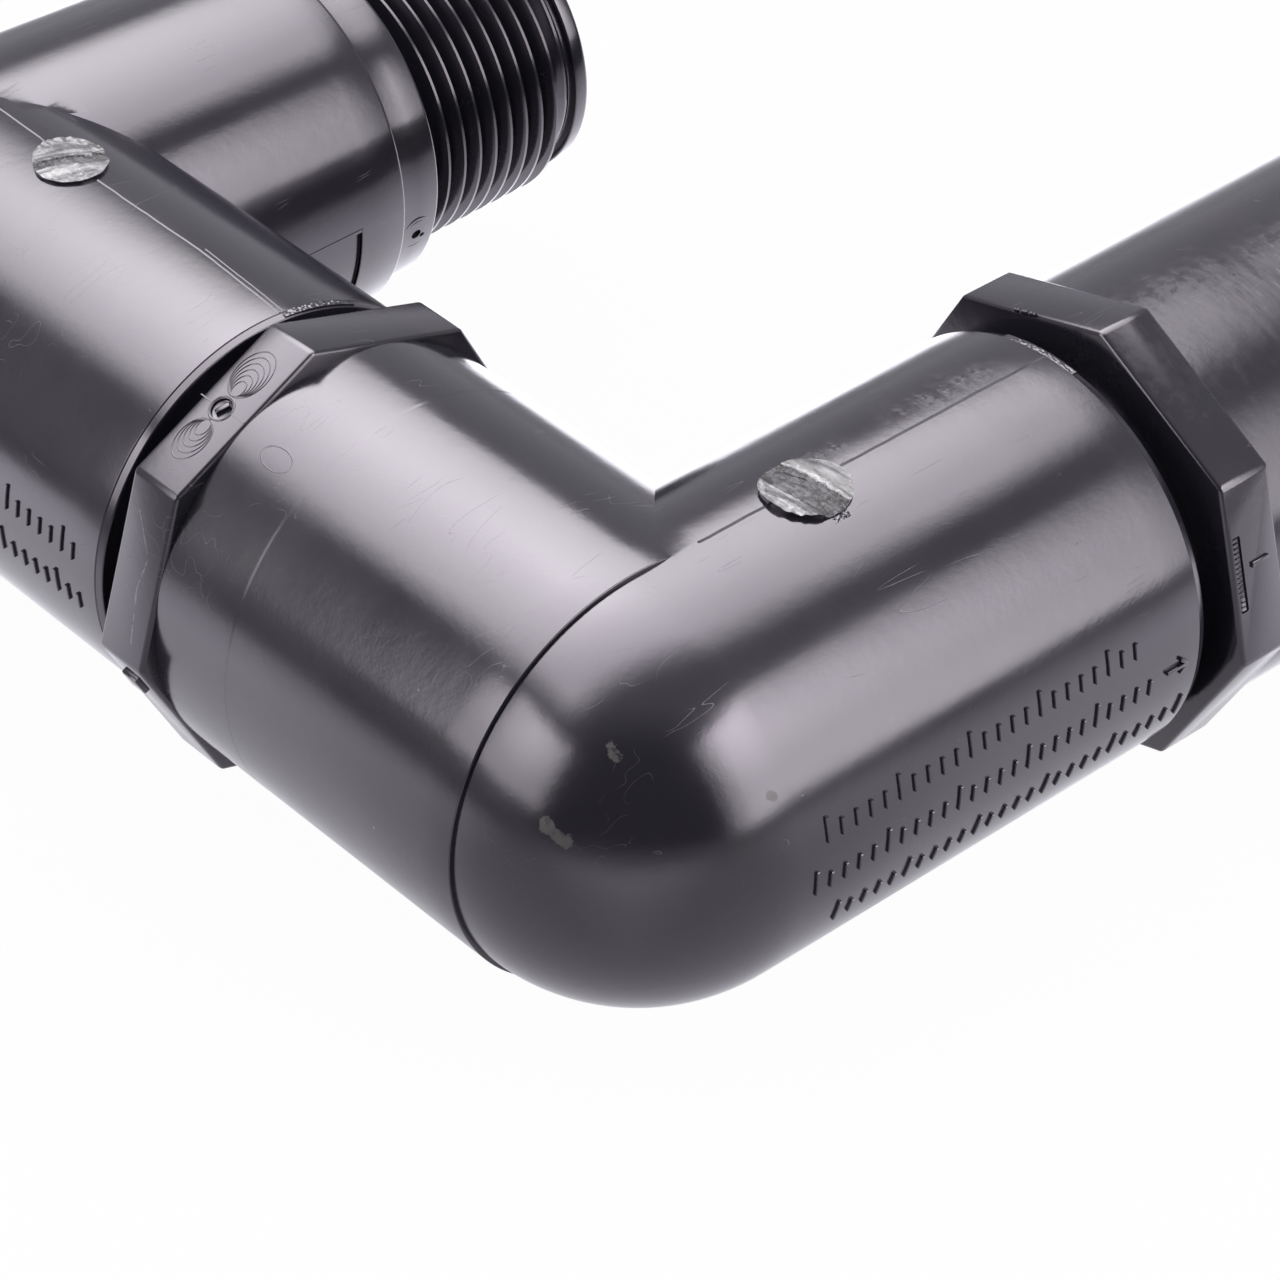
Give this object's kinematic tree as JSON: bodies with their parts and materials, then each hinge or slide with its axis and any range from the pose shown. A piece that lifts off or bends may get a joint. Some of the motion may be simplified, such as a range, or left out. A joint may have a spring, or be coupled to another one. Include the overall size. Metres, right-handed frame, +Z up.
{
  "type": "triple swing joint",
  "caption": "Moulded plastic pipe swing joint with a male pipe thread at each end, joined by coarse-threaded, rubber-sealed swivels that let its elbows and lay arm turn.",
  "frame": {"origin": "middle of the underside of the outer box, on the surface that the joint lies on", "axes": "+X along the lay arm from the street elbow to the outlet elbow, +Y from the street elbow to the inlet elbow, +Z up"},
  "size_m": [0.3504, 0.1498, 0.048],
  "materials": {
    "charcoal_pvc": "glossy charcoal moulded PVC",
    "seal_rubber": "satin black rubber"
  },
  "bodies": {
    "street_elbow": {"street_elbow": "charcoal_pvc"},
    "inlet_seal": {"inlet_seal": "seal_rubber"},
    "inlet_elbow": {"inlet_elbow": "charcoal_pvc"},
    "middle_seal": {"middle_seal": "seal_rubber"},
    "lay_arm": {"lay_arm": "charcoal_pvc"},
    "outlet_seal": {"outlet_seal": "seal_rubber"},
    "outlet_elbow": {"outlet_elbow": "charcoal_pvc"}
  },
  "joints": [
    {"name": "inlet_swivel", "type": "hinge", "parent": "street_elbow", "child": "inlet_seal", "pos_m": [-0.15121, -0.00098, 0.02398], "axis": [0, 1, 0], "range_deg": [-180, 180]},
    {"name": "inlet_creep", "type": "slide", "parent": "inlet_seal", "child": "inlet_elbow", "axis": [0, 1, 0], "range_m": [-0.0026, 0.0026]},
    {"name": "middle_creep", "type": "slide", "parent": "street_elbow", "child": "middle_seal", "axis": [1, 0, 0], "range_m": [-0.0026, 0.0026]},
    {"name": "middle_swivel", "type": "hinge", "parent": "middle_seal", "child": "lay_arm", "pos_m": [-0.10121, -0.05098, 0.02398], "axis": [1, 0, 0], "range_deg": [-180, 180]},
    {"name": "outlet_swivel", "type": "hinge", "parent": "lay_arm", "child": "outlet_seal", "pos_m": [0.10359, -0.05098, 0.02398], "axis": [1, 0, 0], "range_deg": [-180, 180]},
    {"name": "outlet_creep", "type": "slide", "parent": "outlet_seal", "child": "outlet_elbow", "axis": [1, 0, 0], "range_m": [-0.0026, 0.0026]}
  ],
  "couplings": [
    {"joint": "inlet_creep", "follows": "inlet_swivel", "m_per_rad": 0.00080851},
    {"joint": "middle_creep", "follows": "middle_swivel", "m_per_rad": 0.00080851},
    {"joint": "outlet_creep", "follows": "outlet_swivel", "m_per_rad": 0.00080851}
  ]
}
